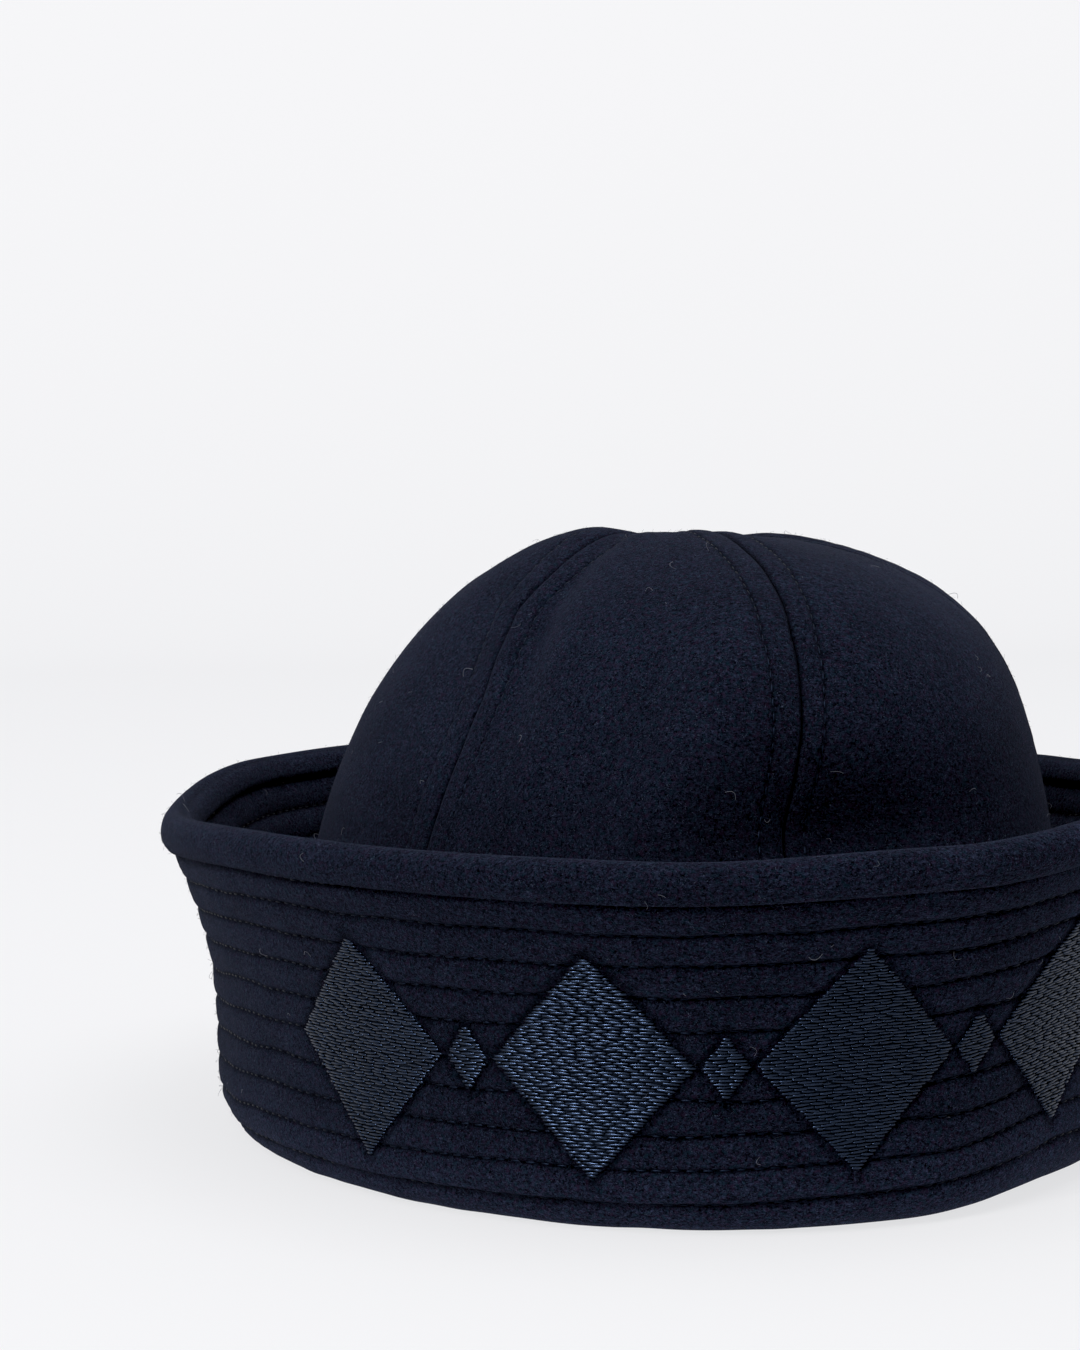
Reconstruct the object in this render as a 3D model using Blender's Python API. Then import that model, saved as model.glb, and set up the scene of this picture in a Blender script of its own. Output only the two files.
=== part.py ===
# Sailor cap of heavy wool: a round crown of six gores inside a turned-up, quilted brim.
# Metres, +Z up, front of the cap towards -Y. The origin is on the surface, under the middle.

import bisect
import math

import bmesh
import bpy
from mathutils import Vector

# Head opening and crown
HEAD_WIDTH = 0.1670
HEAD_LENGTH = 0.1970
CROWN_HEIGHT = 0.1320
CROWN_ROUNDNESS = 2.8  # exponent of the crown's rounded profile: 2 is an ellipse
CLOTH = 0.0023
PANEL_COUNT = 6
PANEL_PUFF = 0.0012
SEAM_DIP = 0.0010
SEAM_GAP = 0.0003
CROWN_LEAN = 0.0045
CROWN_LEAN_TURN = 73.0  # direction of the lean, in degrees from the front towards +X

# Turned-up brim
BRIM_HEIGHT = 0.0750
BRIM_WALL = 0.0052
BRIM_STANDOFF = 0.0180  # from the crown's cloth to the brim's outside, low down
BRIM_FLARE = 0.0120  # further lean outwards at the rim
FLARE_START = 0.0185
FOOT_ROUND_WIDTH = 0.0080
FOOT_ROUND_HEIGHT = 0.0120
RIM_THICKNESS = 0.0084
RIM_DEPTH = 0.0104
ROW_COUNT = 10
ROW_PITCH = 0.0069
FIRST_ROW_DROP = 0.0077  # from the rim's top to the first stitched row, along the cloth
CHANNEL_PUFF = 0.0008

# Clearance between the crown's lower edge and the brim that it is sewn to
SEAT_GAP = 0.0003

# Faceting
BRIM_SECTIONS = 64
CROWN_ROWS = 13
CURVE_STEPS = 240
FOOT_STEPS = 4
RIM_STEPS = 8
RIM_WRAP = 20  # degrees by which the rim's roll reaches below its middle on each side

# Cross-section of one quilted channel on each face of the brim:
# share of ROW_PITCH below its stitched row, share of CHANNEL_PUFF
OUTER_CHANNEL = [(0.0, 0.0), (0.3, 1.0), (0.7, 1.0)]
INNER_CHANNEL = [(0.0, 0.0), (0.5, 0.6)]

# Share of the crown's radius over which the puff of the panels fades out towards the apex
PUFF_FADE = 0.3

# Brim round the cap: direction in degrees from the front towards +X, rim height as a share of
# BRIM_HEIGHT, standoff of BRIM_STANDOFF, flare of BRIM_FLARE, and how far the foot's fold rolls
# up off the surface, as a share of FOOT_ROUND_HEIGHT
BRIM_ROUND = [
    {"turn": -180, "height": 0.995, "standoff": 1.00, "flare": 1.00, "lift": 0.00},
    {"turn": -140, "height": 0.985, "standoff": 1.00, "flare": 1.00, "lift": 0.00},
    {"turn": -107, "height": 0.925, "standoff": 1.00, "flare": 1.00, "lift": 0.00},
    {"turn": -62, "height": 0.975, "standoff": 1.00, "flare": 1.00, "lift": 0.00},
    {"turn": -17, "height": 0.985, "standoff": 1.00, "flare": 1.00, "lift": 0.00},
    {"turn": 6, "height": 1.010, "standoff": 0.95, "flare": 1.06, "lift": 0.03},
    {"turn": 28, "height": 1.060, "standoff": 0.80, "flare": 1.28, "lift": 0.20},
    {"turn": 62, "height": 1.070, "standoff": 0.76, "flare": 1.34, "lift": 0.26},
    {"turn": 110, "height": 0.990, "standoff": 0.95, "flare": 1.06, "lift": 0.05},
    {"turn": 140, "height": 0.970, "standoff": 1.00, "flare": 1.00, "lift": 0.00},
]

# Dents and bumps of the crown: direction in degrees from the front, height as a share of
# CROWN_HEIGHT, half-width and half-height as shares of HEAD_WIDTH, depth as a share of CLOTH
CROWN_DENTS = [
    {"turn": -11, "height": 0.60, "wide": 0.080, "tall": 0.095, "depth": 1.75},
    {"turn": 12, "height": 0.52, "wide": 0.070, "tall": 0.120, "depth": -0.45},
    {"turn": 75, "height": 0.70, "wide": 0.160, "tall": 0.130, "depth": 0.55},
    {"turn": -68, "height": 0.80, "wide": 0.150, "tall": 0.120, "depth": 0.60},
]

# Cross-section of a panel: place from its middle, 0, to its seam, 1,
# dip as a share of SEAM_DIP
PANEL_COLUMNS = [
    {"place": 0.00, "dip": 0.0},
    {"place": 0.45, "dip": 0.0},
    {"place": 0.78, "dip": 0.0},
    {"place": 0.87, "dip": 0.6},
    {"place": 0.94, "dip": 0.2},
    {"place": 1.00, "dip": 1.0},
]

WOOL_CROWN = (0.0075, 0.0095, 0.0185, 1.0)
WOOL_BRIM = (0.0085, 0.0105, 0.0200, 1.0)
WOOL_ROUGHNESS = 0.95


def clear_scene():
    for old in list(bpy.data.objects):
        bpy.data.objects.remove(old, do_unlink=True)


def wool(name, colour):
    material = bpy.data.materials.new(name)
    material.use_nodes = True
    shader = material.node_tree.nodes["Principled BSDF"]
    shader.inputs["Base Color"].default_value = colour
    shader.inputs["Roughness"].default_value = WOOL_ROUGHNESS
    shader.inputs["Metallic"].default_value = 0.0
    return material


def make_object(name, verts, faces, material):
    mesh = bpy.data.meshes.new(name)
    mesh.from_pydata(verts, [], faces)
    mesh.validate()
    mesh.materials.append(material)
    mesh.shade_smooth()
    mesh.set_sharp_from_angle(angle=math.radians(50))
    item = bpy.data.objects.new(name, mesh)
    bpy.context.scene.collection.objects.link(item)
    return item


def smooth_step(share):
    share = min(1.0, max(0.0, share))
    return share * share * (3.0 - 2.0 * share)


def round_value(turn, column):
    """Value of one column of BRIM_ROUND at a direction, eased between its rows."""
    turn = (turn + 180.0) % 360.0 - 180.0
    rows = BRIM_ROUND + [dict(BRIM_ROUND[0], turn=BRIM_ROUND[0]["turn"] + 360)]
    for low, high in zip(rows, rows[1:]):
        if low["turn"] <= turn <= high["turn"]:
            share = (turn - low["turn"]) / (high["turn"] - low["turn"])
            return low[column] + (high[column] - low[column]) * smooth_step(share)
    return rows[0][column]


class Line:
    """A line of 2-D points that is read by distance along it."""

    def __init__(self, points):
        self.points = points
        self.marks = [0.0]
        for first, second in zip(points, points[1:]):
            self.marks.append(self.marks[-1] + (second - first).length)
        self.length = self.marks[-1]

    def at(self, distance):
        index = min(max(bisect.bisect_left(self.marks, distance), 1), len(self.marks) - 1)
        piece = self.marks[index] - self.marks[index - 1]
        share = (distance - self.marks[index - 1]) / piece
        return self.points[index - 1].lerp(self.points[index], share)

    def normal(self, distance, reach):
        """Unit normal on the left of the line's own direction."""
        before = self.at(max(0.0, distance - reach))
        after = self.at(min(self.length, distance + reach))
        along = (after - before).normalized()
        return Vector((-along.y, along.x))


def oval(direction):
    """Point of the crown's outer oval and its outward normal, by the oval's own angle."""
    half_width = HEAD_WIDTH / 2 + CLOTH
    half_length = HEAD_LENGTH / 2 + CLOTH
    point = Vector((half_width * math.cos(direction), half_length * math.sin(direction)))
    normal = Vector((math.cos(direction) / half_width, math.sin(direction) / half_length))
    return point, normal.normalized()


def turn_of(point):
    """Direction of a point seen from above, in degrees from the front towards +X."""
    return math.degrees(math.atan2(point.y, point.x)) + 90.0


# Brim

def brim_face(turn):
    """Outer face of the brim at one direction, from the rim roll's middle down to the flat foot.

    Its points are (distance outwards from the crown's cloth, height)."""
    standoff = BRIM_STANDOFF * round_value(turn, "standoff")
    flare = BRIM_FLARE * round_value(turn, "flare")
    lift = FOOT_ROUND_HEIGHT * round_value(turn, "lift")
    top = BRIM_HEIGHT * round_value(turn, "height") - RIM_DEPTH / 2
    knee = lift + FOOT_ROUND_HEIGHT
    points = []
    for step in range(CURVE_STEPS):
        level = top + (knee - top) * step / CURVE_STEPS
        rise = max(0.0, level - FLARE_START) / (top - FLARE_START)
        points.append(Vector((standoff + flare * rise * rise, level)))
    for step in range(CURVE_STEPS + 1):
        angle = math.pi / 2 * step / CURVE_STEPS
        out = standoff - FOOT_ROUND_WIDTH * (1 - math.cos(angle))
        points.append(Vector((out, knee - FOOT_ROUND_HEIGHT * math.sin(angle))))
    return Line(points)


def rim_roll(face):
    """Rolled upper edge, from its outer lower end over the top to its inner lower end."""
    normal = face.normal(0.0, ROW_PITCH / 4)
    upwards = Vector((-normal.y, normal.x))
    middle = face.at(0.0) - normal * BRIM_WALL / 2
    points = []
    for step in range(RIM_STEPS + 1):
        angle = math.radians(-RIM_WRAP + (180 + 2 * RIM_WRAP) * step / RIM_STEPS)
        across = normal * RIM_THICKNESS / 2 * math.cos(angle)
        points.append(middle + across + upwards * RIM_DEPTH / 2 * math.sin(angle))
    return points


def channels(face, first_row, shape, depth, side):
    """Points of the stitched channels from the first row to the last, at a depth in the wall."""
    points = []
    for row in range(ROW_COUNT):
        for share, puff in shape if row < ROW_COUNT - 1 else shape[:1]:
            distance = first_row + (row + share) * ROW_PITCH
            normal = face.normal(distance, ROW_PITCH / 8)
            points.append(face.at(distance) + normal * (side * CHANNEL_PUFF * puff - depth))
    return points


def brim_section(turn):
    """Closed cross-section: flat foot, outer face upwards, rim roll, inner face downwards."""
    face = brim_face(turn)
    first_row = FIRST_ROW_DROP - RIM_DEPTH / 2
    last_row = first_row + (ROW_COUNT - 1) * ROW_PITCH
    outer = channels(face, first_row, OUTER_CHANNEL, 0.0, 1.0)
    inner = channels(face, first_row, INNER_CHANNEL, BRIM_WALL, -1.0)
    for step in range(1, FOOT_STEPS + 1):
        distance = last_row + (face.length - last_row) * step / FOOT_STEPS
        outer.append(face.at(distance))
    wall = Vector((0.0, BRIM_WALL))
    under_crown = [Vector((-CLOTH, 0.0)), Vector((CLOTH, 0.0))]
    inner += [outer[-1] + wall, under_crown[1] + wall, under_crown[0] + wall]
    return under_crown + outer[::-1] + rim_roll(face) + inner


def make_brim():
    verts = []
    for number in range(BRIM_SECTIONS):
        base, normal = oval(2 * math.pi * number / BRIM_SECTIONS)
        for out, level in brim_section(turn_of(base)):
            verts.append((base + normal * out).to_3d() + Vector((0.0, 0.0, level)))
    size = len(verts) // BRIM_SECTIONS
    faces = []
    for number in range(BRIM_SECTIONS):
        here = number * size
        following = (number + 1) % BRIM_SECTIONS * size
        for step in range(size):
            after = (step + 1) % size
            faces.append((here + step, following + step, following + after, here + after))
    return make_object("brim", verts, faces, wool("brim_wool", WOOL_BRIM))


# Crown

def crown_profile():
    """Rows of the crown from the brim up to the last ring below the apex.

    Each row is (share of the oval's radius, height, profile normal outwards, normal upwards)."""
    mean_radius = (HEAD_WIDTH + HEAD_LENGTH) / 4 + CLOTH
    seat = BRIM_WALL + SEAT_GAP
    points = []
    for step in range(CURVE_STEPS + 1):
        angle = math.pi / 2 * step / CURVE_STEPS
        level = CROWN_HEIGHT * math.sin(angle) ** (2 / CROWN_ROUNDNESS)
        if level >= seat:
            points.append(Vector((mean_radius * max(0.0, math.cos(angle)) ** (2 / CROWN_ROUNDNESS), level)))
    points.insert(0, Vector((points[0].x, seat)))
    line = Line(points)
    rows = []
    for row in range(CROWN_ROWS):
        distance = line.length * row / CROWN_ROWS
        point = line.at(distance)
        normal = -line.normal(distance, line.length / CURVE_STEPS)
        rows.append((point.x / mean_radius, point.y, normal.x, normal.y))
    return rows


def crown_dent(turn, level):
    """Depth of all dents at a direction and height."""
    depth = 0.0
    for dent in CROWN_DENTS:
        aside = math.radians((turn - dent["turn"] + 180) % 360 - 180) * (HEAD_WIDTH + HEAD_LENGTH) / 4
        across = aside / (dent["wide"] * HEAD_WIDTH)
        above = (level - dent["height"] * CROWN_HEIGHT) / (dent["tall"] * HEAD_WIDTH)
        depth += dent["depth"] * CLOTH * math.exp(-across * across - above * above)
    return depth


def crown_shift(level):
    """Sideways lean of the crown at a height: none at the brim and none at the apex."""
    share = level / CROWN_HEIGHT
    direction = math.radians(CROWN_LEAN_TURN - 90)
    size = CROWN_LEAN * math.sin(math.pi * share ** 4)
    return Vector((math.cos(direction), math.sin(direction), 0.0)) * size


def on_panel(middle, place, radius, level):
    """Point of a panel: place runs from -1 to 1 between its two seams."""
    half = math.pi / PANEL_COUNT - math.asin(SEAM_GAP / 2 / radius)
    direction = middle + place * half
    point = Vector((radius * math.cos(direction), radius * math.sin(direction), level))
    return point + crown_shift(level)


def panel_rows(middle):
    """Outer and inner grid of one panel, a list of points for each row."""
    half_width = HEAD_WIDTH / 2 + CLOTH
    half_length = HEAD_LENGTH / 2 + CLOTH
    columns = [(-column["place"], column["dip"]) for column in PANEL_COLUMNS[:0:-1]]
    columns += [(column["place"], column["dip"]) for column in PANEL_COLUMNS]
    grids = []
    for radius_share, level, out, up in crown_profile():
        outer = []
        inner = []
        fade = smooth_step(radius_share / PUFF_FADE)
        for place, dip in columns:
            direction = middle + place * math.pi / PANEL_COUNT
            spread = math.hypot(math.cos(direction) / half_width, math.sin(direction) / half_length)
            turn = math.degrees(direction) + 90
            rise = fade * (PANEL_PUFF * (1 - place * place) - SEAM_DIP * dip) - crown_dent(turn, level)
            radius = radius_share / spread + rise * out
            height = level + rise * up
            outer.append(on_panel(middle, place, radius, height))
            inner.append(on_panel(middle, place, radius - CLOTH * out, height - CLOTH * up))
        grids.append((outer, inner))
    return grids


def make_panel(number):
    middle = 2 * math.pi * (number + 0.5) / PANEL_COUNT - math.pi / 2
    grids = panel_rows(middle)
    width = len(grids[0][0])
    verts = []
    for outer, inner in grids:
        verts += outer + inner
    tip_radius = SEAM_GAP / 2 / math.sin(math.pi / PANEL_COUNT)
    tips = (len(verts), len(verts) + 1)
    for level in (CROWN_HEIGHT, CROWN_HEIGHT - CLOTH):
        verts.append(Vector((tip_radius * math.cos(middle), tip_radius * math.sin(middle), level)))
    faces = []
    for row in range(len(grids)):
        low = row * 2 * width
        high = low + 2 * width
        last = row == len(grids) - 1
        for side, tip in zip((0, width), tips):
            for step in range(width - 1):
                first = low + side + step
                if last:
                    faces.append((first, first + 1, tip))
                else:
                    faces.append((first, first + 1, first + 2 * width + 1, first + 2 * width))
        for edge in (0, width - 1):
            upper = tips if last else (high + edge, high + width + edge)
            faces.append((low + edge, low + width + edge, upper[1], upper[0]))
    for step in range(width - 1):
        faces.append((step, step + 1, width + step + 1, width + step))
    return make_object(f"crown_panel_{number + 1}", verts, faces, wool(f"crown_wool_{number + 1}", WOOL_CROWN))


def face_outwards(item):
    shape = bmesh.new()
    shape.from_mesh(item.data)
    bmesh.ops.recalc_face_normals(shape, faces=shape.faces)
    if shape.calc_volume(signed=True) < 0:
        bmesh.ops.reverse_faces(shape, faces=shape.faces)
    shape.to_mesh(item.data)
    shape.free()


def centre(items):
    """Put the middle of the cap's box, at floor level, on the origin."""
    points = [vert.co for item in items for vert in item.data.vertices]
    for axis in range(2):
        low = min(point[axis] for point in points)
        high = max(point[axis] for point in points)
        for item in items:
            item.location[axis] = -(low + high) / 2


clear_scene()
pieces = [make_brim()]
for panel in range(PANEL_COUNT):
    pieces.append(make_panel(panel))
for piece in pieces:
    face_outwards(piece)
centre(pieces)
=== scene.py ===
import math

import bmesh
import bpy
import numpy as np
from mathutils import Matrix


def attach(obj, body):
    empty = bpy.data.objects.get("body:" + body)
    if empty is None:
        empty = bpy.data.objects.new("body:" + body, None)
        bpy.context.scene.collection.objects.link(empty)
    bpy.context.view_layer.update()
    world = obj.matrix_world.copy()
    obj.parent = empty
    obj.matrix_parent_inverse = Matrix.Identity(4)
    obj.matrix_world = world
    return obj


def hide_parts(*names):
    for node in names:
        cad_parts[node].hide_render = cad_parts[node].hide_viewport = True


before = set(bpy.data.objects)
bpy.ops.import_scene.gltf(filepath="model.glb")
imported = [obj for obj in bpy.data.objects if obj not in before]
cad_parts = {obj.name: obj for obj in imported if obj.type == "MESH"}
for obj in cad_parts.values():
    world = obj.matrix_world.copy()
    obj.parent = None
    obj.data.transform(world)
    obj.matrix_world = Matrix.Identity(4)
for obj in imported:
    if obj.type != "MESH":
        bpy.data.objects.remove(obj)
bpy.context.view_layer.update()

print("frame loaded")

mm = 0.001
fullTurn = 2 * math.pi


def lengths(**values):
    # named lengths, given in millimetres
    return {name: value * mm for name, value in values.items()}


def addToScene(name, data):
    item = bpy.data.objects.new(name, data)
    bpy.context.scene.collection.objects.link(item)
    return item


# Camera at the photograph's angle: the cap's front is turned a little to the right of it

cameraSetup = {
    "place": (-0.2120, -0.6933, 0.1542),
    "turn": (85.74, 0.0, -14.51),
    "lens": 85.33,
    "sensor": 36.0,
}


def makeCamera(setup):
    data = bpy.data.cameras.new("photoCamera")
    data.lens = setup["lens"]
    data.sensor_width = setup["sensor"]
    camera = addToScene("photoCamera", data)
    camera.location = setup["place"]
    camera.rotation_euler = [math.radians(part) for part in setup["turn"]]
    bpy.context.scene.camera = camera


makeCamera(cameraSetup)
print("camera ready")

# Sizes that the crown and the brim share

cap = lengths(headWidth=167, headLength=197, cloth=2.3, seatGap=0.3)
halfWidth = cap["headWidth"] / 2 + cap["cloth"]
halfLength = cap["headLength"] / 2 + cap["cloth"]


def ovalAt(angle):
    # a point of the crown's outer oval, and its outward normal
    x, y = halfWidth * np.cos(angle), halfLength * np.sin(angle)
    nx, ny = np.cos(angle) / halfWidth, np.sin(angle) / halfLength
    size = np.hypot(nx, ny)
    return x, y, nx / size, ny / size


def wrapped(degrees):
    # the same direction, from -180 to 180
    return (degrees + 180) % 360 - 180


def eased(share):
    share = np.clip(share, 0, 1)
    return share * share * (3 - 2 * share)


def makeNoise(seed, across, down=64):
    # smooth noise between -1 and 1; u is in turns of the cap and closes after each
    grid = np.random.default_rng(seed).uniform(-1, 1, (across, down))

    def noise(u, v, cells=across):
        u, v = np.broadcast_arrays(np.asarray(u * cells, float), np.asarray(v, float))
        iu, iv = np.floor(u).astype(int), np.floor(v).astype(int)
        fu, fv = eased(u - iu), eased(v - iv)
        a, b = iu % cells, (iu + 1) % cells
        c, d = iv % down, (iv + 1) % down
        low = grid[a, c] * (1 - fu) + grid[b, c] * fu
        high = grid[a, d] * (1 - fu) + grid[b, d] * fu
        return low * (1 - fv) + high * fv

    return noise


def meshObject(name, points, faces, material=None, edges=()):
    mesh = bpy.data.meshes.new(name)
    mesh.from_pydata([tuple(point) for point in points], edges, faces)
    if material:
        mesh.materials.append(material)
    return addToScene(name, mesh)


def gridFaces(rows, columns, first=0, flip=False, closed=False):
    # quads between rows of points; a closed grid's last row and column also meet its first
    faces = []
    for row in range(rows if closed else rows - 1):
        for column in range(columns if closed else columns - 1):
            low, high = first + row * columns, first + (row + 1) % rows * columns
            beside = (column + 1) % columns
            face = (low + column, low + beside, high + beside, high + column)
            faces.append(face[::-1] if flip else face)
    return faces


def pointOutwards(item):
    shape = bmesh.new()
    shape.from_mesh(item.data)
    bmesh.ops.recalc_face_normals(shape, faces=shape.faces)
    if shape.calc_volume(signed=True) < 0:
        bmesh.ops.reverse_faces(shape, faces=shape.faces)
    shape.to_mesh(item.data)
    shape.free()
    item.data.shade_smooth()


def addValues(item, name, values, kind="FLOAT"):
    # a number or a vector on each point
    data = item.data.attributes.new(name, kind, "POINT")
    field = "value" if kind == "FLOAT" else "vector"
    data.data.foreach_set(field, np.asarray(values, np.float32).ravel())


def joinCap(item):
    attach(item, "root")
    print(item.name, len(item.data.polygons), "faces")


# Short ways to build node trees

def newTree(kind, name, linked, sizes, results):
    # sockets by name: linked inputs and results with their kinds, sizes with their usual values
    tree = bpy.data.node_groups.new(name, kind + "NodeTree")

    def addSocket(label, way, sort):
        return tree.interface.new_socket(label, in_out=way, socket_type="NodeSocket" + sort)

    for label, sort in linked.items():
        addSocket(label, "INPUT", sort)
    for label, value in sizes.items():
        addSocket(label, "INPUT", "Int" if isinstance(value, int) else "Float").default_value = value
    for label, sort in results.items():
        addSocket(label, "OUTPUT", sort)
    return tree, tree.nodes.new("NodeGroupInput").outputs, tree.nodes.new("NodeGroupOutput")


def plug(sockets, label):
    wanted = label.replace("_", " ").lower()
    for socket in sockets:
        if socket.enabled and socket.name.lower() == wanted:
            return socket
    raise KeyError(label)


def feed(tree, socket, value):
    # a link from another node, or a fixed value
    if hasattr(value, "is_linked"):
        tree.links.new(value, socket)
    else:
        socket.default_value = value


def feedAll(tree, node, values):
    for label, value in values.items():
        feed(tree, plug(node.inputs, label), value)


def addNode(tree, kind, sets=None, **values):
    # a node with its settings and, by plain socket name, its values or incoming links
    node = tree.nodes.new(kind)
    for key, value in (sets or {}).items():
        setattr(node, key, value)
    feedAll(tree, node, values)
    return node


def outputOf(tree, kind, sets=None, **values):
    return addNode(tree, kind, sets, **values).outputs[0]


def maths(tree, operation, first, second, clamp=False):
    node = addNode(tree, "ShaderNodeMath", {"operation": operation, "use_clamp": clamp})
    feed(tree, node.inputs[0], first)
    feed(tree, node.inputs[1], second)
    return node.outputs[0]


def times(tree, first, second):
    return maths(tree, "MULTIPLY", first, second)


def plus(tree, first, second):
    return maths(tree, "ADD", first, second)


def ramp(tree, value, start, gain):
    # nothing up to the start, then the gain's share of what lies over it, up to 1
    return maths(tree, "MULTIPLY", maths(tree, "SUBTRACT", value, start), gain, clamp=True)


def noiseAt(tree, place, scale, detail, roughness=0.5, distortion=0.0):
    return outputOf(tree, "ShaderNodeTexNoise", Vector=place, Scale=scale, Detail=detail, Roughness=roughness,
                    Distortion=distortion)


def vectorOf(tree, x=0.0, y=0.0, z=0.0):
    return outputOf(tree, "ShaderNodeCombineXYZ", X=x, Y=y, Z=z)


def fromPoints(tree, name):
    # a number that a mesh holds on its points, for a material
    return addNode(tree, "ShaderNodeAttribute", {"attribute_name": name}).outputs["Fac"]


def mixColours(tree, factor, first, second, blend="MIX"):
    node = addNode(tree, "ShaderNodeMix", {"data_type": "RGBA", "blend_type": blend})
    sockets = [socket for socket in node.inputs if socket.enabled]
    for socket, value in zip(sockets, (factor, first, second)):
        feed(tree, socket, value)
    return [socket for socket in node.outputs if socket.enabled][0]


def newMaterial(name):
    material = bpy.data.materials.new(name)
    material.use_nodes = True
    tree = material.node_tree
    place = addNode(tree, "ShaderNodeTexCoord").outputs["Object"]
    return material, tree, tree.nodes["Principled BSDF"], place


# Felted wool: fine lumps, short strands lying every way, slow clouds and a few odd-coloured fibres

felt = {
    "Strand Scale": 2200.0,
    "Lump Scale": 1650.0,
    "Cloud Scale": 60.0,
    "strandTurns": ((0.4, 0.2, 0.3), (1.3, 0.9, 2.1), (2.4, 1.9, 0.8)),
    "strandStretch": (0.34, 1.0, 1.0),
    "tintSize": 0.73,  # of the lumps' scale
    "strandRamp": (0.52, 4.2),
    "grainRamp": (0.34, 3.0),
    "fleckRamp": (0.665, 12.0),
    "hueRamp": (0.56, 6.0),
    "coolRamp": (0.45, -6.0),
    "grainShare": 0.6,
    "lumpShare": 0.7,
    "strandShare": 0.4,
}


def makeFeltGroup(plan):
    sizes = {label: plan[label] for label in ("Strand Scale", "Lump Scale", "Cloud Scale")}
    masks = dict.fromkeys(("Tone", "Height", "Cloud", "Fleck", "Hue", "Cool"), "Float")
    group, given, end = newTree("Shader", "feltedNap", {"Vector": "Vector"}, sizes, masks)
    place, strandScale = given["Vector"], given["Strand Scale"]
    lumps = noiseAt(group, place, given["Lump Scale"], 3.0, 0.7, 0.8)
    strands = []
    for lean in plan["strandTurns"]:
        turned = outputOf(group, "ShaderNodeMapping", Vector=place, Rotation=lean,
                          Scale=plan["strandStretch"])
        strands.append(noiseAt(group, turned, strandScale, 1.0, 0.5, 1.4))
    most = maths(group, "MAXIMUM", maths(group, "MAXIMUM", strands[0], strands[1]), strands[2])
    sharp = times(group, ramp(group, most, *plan["strandRamp"]), plan["strandShare"])
    grain = times(group, ramp(group, lumps, *plan["grainRamp"]), plan["grainShare"])
    fleck = noiseAt(group, place, strandScale, 1.0, 0.6, 2.5)
    tint = noiseAt(group, place, times(group, given["Lump Scale"], plan["tintSize"]), 1.0, 0.5, 0.5)
    feedAll(group, end, {
        "Tone": plus(group, grain, sharp),
        "Height": plus(group, times(group, lumps, plan["lumpShare"]), sharp),
        "Cloud": noiseAt(group, place, given["Cloud Scale"], 3.0, 0.6),
        "Fleck": ramp(group, fleck, *plan["fleckRamp"]),
        "Hue": ramp(group, tint, *plan["hueRamp"]),
        "Cool": ramp(group, tint, *plan["coolRamp"]),
    })
    return group


feltedNap = makeFeltGroup(felt)

woolLook = {
    "dark": (0.0005, 0.0007, 0.0016, 1.0),
    "light": (0.0315, 0.0395, 0.0790, 1.0),
    "plum": (0.0170, 0.0100, 0.0240, 1.0),
    "teal": (0.0070, 0.0200, 0.0330, 1.0),
    "fleck": (0.085, 0.105, 0.160, 1.0),
    # painted shade: near-black laid over the wool where the groove attribute marks stitched grooves, seams,
    # hollows and the roll's fold
    "paintedShade": (0.0004, 0.0005, 0.0012, 1.0),
    "shares": {"plum": 0.65, "teal": 0.5, "fleck": 0.7, "paintedShade": 0.93},
    "contrast": 1.7,
    "clouds": (0.7, 0.62),  # gain and base
    # gain of the edge attribute: wear on the rim's roll, and painted bounce light on the brim's lower rows
    "wearAndPaintedBounce": 0.5,
    "roughness": (0.12, 0.84),
    "sheen": 0.056,
    "sheenRoughness": 0.38,
    "sheenTint": (0.50, 0.60, 1.0, 1.0),
    "gloss": 0.02,
    "glossTint": (0.45, 0.60, 1.0, 1.0),
    "bump": 0.9,
    "depth": 0.35 * mm,
}
# the crown's copy of the wool: its light tone darker as painted shade where it faces the top and key lights;
# less contrast, sheen and bump
crownLookWithPaintedShade = dict(woolLook, light=(0.0265, 0.0330, 0.0660, 1.0), contrast=1.55, wearAndPaintedBounce=0.0, sheen=0.045,
                 bump=0.60, depth=0.24 * mm)


def makeWool(name, look):
    material, tree, shader, place = newMaterial(name)
    node = addNode(tree, "ShaderNodeGroup", {"node_tree": feltedNap}, Vector=place)
    masks = {socket.name: socket for socket in node.outputs}
    cloud = masks["Cloud"]

    def paint(mask, under, colour):
        return mixColours(tree, times(tree, mask, look["shares"][colour]), under, look[colour])

    tone = maths(tree, "POWER", masks["Tone"], look["contrast"])
    base = mixColours(tree, tone, look["dark"], look["light"])
    tinted = paint(masks["Cool"], paint(masks["Hue"], base, "plum"), "teal")
    shade = plus(tree, times(tree, cloud, look["clouds"][0]), look["clouds"][1])
    # lighter by the edge attribute: worn on the rim's roll, painted bounce light from the floor on the brim's
    # lower rows
    shade = plus(tree, times(tree, fromPoints(tree, "edge"), look["wearAndPaintedBounce"]), shade)
    grey = outputOf(tree, "ShaderNodeCombineColor", Red=shade, Green=shade, Blue=shade)
    clouded = mixColours(tree, 1.0, tinted, grey, "MULTIPLY")
    flecked = paint(masks["Fleck"], clouded, "fleck")
    bumped = outputOf(tree, "ShaderNodeBump", Strength=look["bump"], Distance=look["depth"],
                      Height=masks["Height"])
    feedAll(tree, shader, {
        # painted shade, by the groove attribute
        "Base Color": paint(fromPoints(tree, "groove"), flecked, "paintedShade"),
        "Roughness": plus(tree, times(tree, cloud, look["roughness"][0]), look["roughness"][1]),
        "Specular IOR Level": look["gloss"],
        "Specular Tint": look["glossTint"],
        "Sheen Weight": look["sheen"],
        "Sheen Roughness": look["sheenRoughness"],
        "Sheen Tint": look["sheenTint"],
        "Normal": bumped,
    })
    return material


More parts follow.
